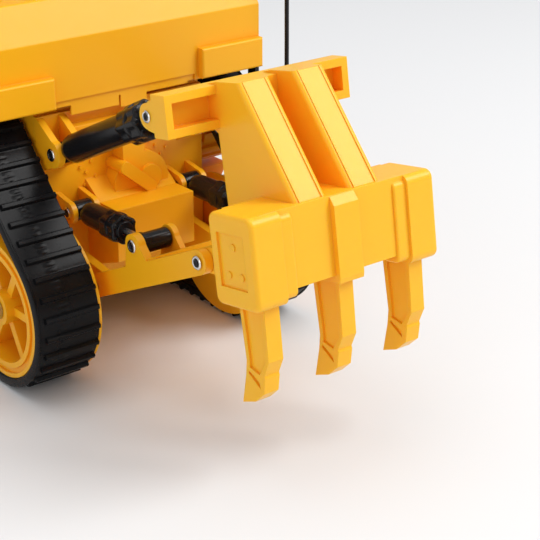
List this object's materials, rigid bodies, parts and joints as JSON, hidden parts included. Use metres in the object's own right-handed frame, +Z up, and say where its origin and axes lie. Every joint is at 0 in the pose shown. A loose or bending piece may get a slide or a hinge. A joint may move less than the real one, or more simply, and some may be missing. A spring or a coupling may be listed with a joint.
{
  "type": "toy bulldozer",
  "caption": "Toy crawler bulldozer with raised-sprocket rubber tracks, lifting front blade and a parallelogram rear ripper; yellow plastic body, black cylinders and steel pins.",
  "frame": {"origin": "on the ground under the middle of the bounding box", "axes": "+X forward to the blade, +Y the machine's left, +Z up"},
  "size_m": [0.421, 0.236, 0.228],
  "materials": {
    "yellow_shell": "moulded yellow ABS, satin gloss",
    "yellow_ripper": "moulded yellow polypropylene, slightly translucent",
    "black_rubber": "moulded track rubber",
    "black_plastic": "moulded black, glossy",
    "steel_rod": "drawn steel",
    "pin_chrome": "plated rivet pins",
    "window_glass": "clear moulded glazing",
    "board_green": "glass-fibre circuit board",
    "battery_wrap": "shrink wrap",
    "motor_can": "pressed steel can",
    "gear_nylon": "white nylon"
  },
  "bodies": {
    "chassis": {"chassis_tub": "yellow_shell", "battery_door": "yellow_shell", "battery_pack": "battery_wrap", "circuit_board": "board_green", "rear_cover": "yellow_shell", "rear_lug_pins": "pin_chrome", "body_shell": "yellow_shell", "hood_shell": "yellow_shell", "hood_pins": "pin_chrome", "grille": "yellow_shell", "exhaust_stack": "black_plastic", "cab_frame": "yellow_shell", "cab_windows": "window_glass", "cab_roof": "yellow_shell", "lamp_lenses": "window_glass", "seat": "black_plastic", "aerial_base": "black_plastic", "aerial_whip": "black_plastic", "drive_motors": "motor_can", "track_left": "black_rubber", "track_right": "black_rubber", "track_frame_left": "yellow_shell", "track_frame_right": "yellow_shell", "wheel_axles": "steel_rod", "screws": "steel_rod"},
    "switch": {"switch_knob": "black_plastic"},
    "blade_frame": {"blade": "yellow_shell", "cutting_edge": "steel_rod", "push_arm_left": "yellow_shell", "push_arm_right": "yellow_shell", "blade_pins": "pin_chrome"},
    "link": {"link_frame": "yellow_shell", "link_pins": "pin_chrome"},
    "ripper": {"ripper_frame": "yellow_ripper", "ripper_pins": "pin_chrome", "shank_left": "yellow_ripper", "shank_centre": "yellow_ripper", "shank_right": "yellow_ripper"},
    "sprocket_left": {"sprocket_left": "yellow_shell", "drive_gear_left": "gear_nylon"},
    "motor_pinion_left": {"motor_pinion_left": "gear_nylon"},
    "rear_idler_left": {"rear_idler_left": "yellow_shell"},
    "front_idler_left": {"front_idler_left": "yellow_shell"},
    "tilt_cylinder_left": {"tilt_barrel_left": "black_plastic", "tilt_rod_left": "steel_rod"},
    "lift_barrel_left": {"lift_barrel_left": "black_plastic"},
    "lift_rod_left": {"lift_rod_left": "steel_rod"},
    "blade_barrel_left": {"blade_barrel_left": "black_plastic"},
    "blade_rod_left": {"blade_rod_left": "steel_rod"},
    "sprocket_right": {"sprocket_right": "yellow_shell", "drive_gear_right": "gear_nylon"},
    "motor_pinion_right": {"motor_pinion_right": "gear_nylon"},
    "rear_idler_right": {"rear_idler_right": "yellow_shell"},
    "front_idler_right": {"front_idler_right": "yellow_shell"},
    "tilt_cylinder_right": {"tilt_barrel_right": "black_plastic", "tilt_rod_right": "steel_rod"},
    "lift_barrel_right": {"lift_barrel_right": "black_plastic"},
    "lift_rod_right": {"lift_rod_right": "steel_rod"},
    "blade_barrel_right": {"blade_barrel_right": "black_plastic"},
    "blade_rod_right": {"blade_rod_right": "steel_rod"}
  },
  "joints": [
    {"name": "switch_slide", "type": "slide", "parent": "chassis", "child": "switch", "axis": [1, 0, 0], "range_m": [0, 0.004]},
    {"name": "blade_lift", "type": "hinge", "parent": "chassis", "child": "blade_frame", "pos_m": [0.03365, 0, 0.034], "axis": [0, -1, 0], "range_deg": [0, 12.5]},
    {"name": "ripper_lift", "type": "hinge", "parent": "chassis", "child": "link", "pos_m": [-0.07925, 0, 0.04513], "axis": [0, 1, 0], "range_deg": [-22, 12]},
    {"name": "ripper_level", "type": "hinge", "parent": "link", "child": "ripper", "pos_m": [-0.15945, 0, 0.0831], "axis": [0, 1, 0], "range_deg": [-12.5, 22.5]},
    {"name": "sprocket_spin_left", "type": "hinge", "parent": "chassis", "child": "sprocket_left", "pos_m": [-0.02245, 0, 0.092], "axis": [0, 1, 0], "continuous": true},
    {"name": "pinion_spin_left", "type": "hinge", "parent": "chassis", "child": "motor_pinion_left", "pos_m": [0.0008, 0, 0.092], "axis": [0, 1, 0], "continuous": true},
    {"name": "rear_idler_spin_left", "type": "hinge", "parent": "chassis", "child": "rear_idler_left", "pos_m": [-0.05925, 0, 0.0381], "axis": [0, 1, 0], "continuous": true},
    {"name": "front_idler_spin_left", "type": "hinge", "parent": "chassis", "child": "front_idler_left", "pos_m": [0.12875, 0, 0.0381], "axis": [0, 1, 0], "continuous": true},
    {"name": "tilt_swing_left", "type": "hinge", "parent": "chassis", "child": "tilt_cylinder_left", "pos_m": [-0.05845, 0, 0.1036], "axis": [0, 1, 0], "range_deg": [-22.5, 12.5]},
    {"name": "lift_swing_left", "type": "hinge", "parent": "chassis", "child": "lift_barrel_left", "pos_m": [-0.05645, 0, 0.0735], "axis": [0, 1, 0], "range_deg": [-16, 9]},
    {"name": "lift_stroke_left", "type": "slide", "parent": "lift_barrel_left", "child": "lift_rod_left", "axis": [-0.9998, 0, 0.022], "range_m": [-0.0075, 0.0125]},
    {"name": "blade_swing_left", "type": "hinge", "parent": "chassis", "child": "blade_barrel_left", "pos_m": [0.13065, 0, 0.134], "axis": [0, -1, 0], "range_deg": [-0.5, 12]},
    {"name": "blade_stroke_left", "type": "slide", "parent": "blade_barrel_left", "child": "blade_rod_left", "axis": [0.5384, 0, -0.8427], "range_m": [-0.033, 0.001]},
    {"name": "sprocket_spin_right", "type": "hinge", "parent": "chassis", "child": "sprocket_right", "pos_m": [-0.02245, 0, 0.092], "axis": [0, 1, 0], "continuous": true},
    {"name": "pinion_spin_right", "type": "hinge", "parent": "chassis", "child": "motor_pinion_right", "pos_m": [0.0008, 0, 0.092], "axis": [0, 1, 0], "continuous": true},
    {"name": "rear_idler_spin_right", "type": "hinge", "parent": "chassis", "child": "rear_idler_right", "pos_m": [-0.05925, 0, 0.0381], "axis": [0, 1, 0], "continuous": true},
    {"name": "front_idler_spin_right", "type": "hinge", "parent": "chassis", "child": "front_idler_right", "pos_m": [0.12875, 0, 0.0381], "axis": [0, 1, 0], "continuous": true},
    {"name": "tilt_swing_right", "type": "hinge", "parent": "chassis", "child": "tilt_cylinder_right", "pos_m": [-0.05845, 0, 0.1036], "axis": [0, 1, 0], "range_deg": [-22.5, 12.5]},
    {"name": "lift_swing_right", "type": "hinge", "parent": "chassis", "child": "lift_barrel_right", "pos_m": [-0.05645, 0, 0.0735], "axis": [0, 1, 0], "range_deg": [-16, 9]},
    {"name": "lift_stroke_right", "type": "slide", "parent": "lift_barrel_right", "child": "lift_rod_right", "axis": [-0.9998, 0, 0.022], "range_m": [-0.0075, 0.0125]},
    {"name": "blade_swing_right", "type": "hinge", "parent": "chassis", "child": "blade_barrel_right", "pos_m": [0.13065, 0, 0.134], "axis": [0, -1, 0], "range_deg": [-0.5, 12]},
    {"name": "blade_stroke_right", "type": "slide", "parent": "blade_barrel_right", "child": "blade_rod_right", "axis": [0.5384, 0, -0.8427], "range_m": [-0.033, 0.001]}
  ],
  "couplings": [
    {"joint": "ripper_level", "follows": "ripper_lift", "ratio": -1},
    {"joint": "pinion_spin_left", "follows": "sprocket_spin_left", "ratio": -3.6},
    {"joint": "rear_idler_spin_left", "follows": "sprocket_spin_left", "ratio": 0.6657},
    {"joint": "front_idler_spin_left", "follows": "sprocket_spin_left", "ratio": 0.6657},
    {"joint": "tilt_swing_left", "follows": "ripper_lift", "ratio": 1},
    {"joint": "lift_swing_left", "follows": "ripper_lift", "ratio": 0.5873},
    {"joint": "lift_stroke_left", "follows": "ripper_lift", "m_per_rad": -0.02753},
    {"joint": "blade_swing_left", "follows": "blade_lift", "ratio": 0.6781},
    {"joint": "blade_stroke_left", "follows": "blade_lift", "m_per_rad": -0.13703},
    {"joint": "pinion_spin_right", "follows": "sprocket_spin_right", "ratio": -3.6},
    {"joint": "rear_idler_spin_right", "follows": "sprocket_spin_right", "ratio": 0.6657},
    {"joint": "front_idler_spin_right", "follows": "sprocket_spin_right", "ratio": 0.6657},
    {"joint": "tilt_swing_right", "follows": "ripper_lift", "ratio": 1},
    {"joint": "lift_swing_right", "follows": "ripper_lift", "ratio": 0.5873},
    {"joint": "lift_stroke_right", "follows": "ripper_lift", "m_per_rad": -0.02753},
    {"joint": "blade_swing_right", "follows": "blade_lift", "ratio": 0.6781},
    {"joint": "blade_stroke_right", "follows": "blade_lift", "m_per_rad": -0.13703}
  ]
}
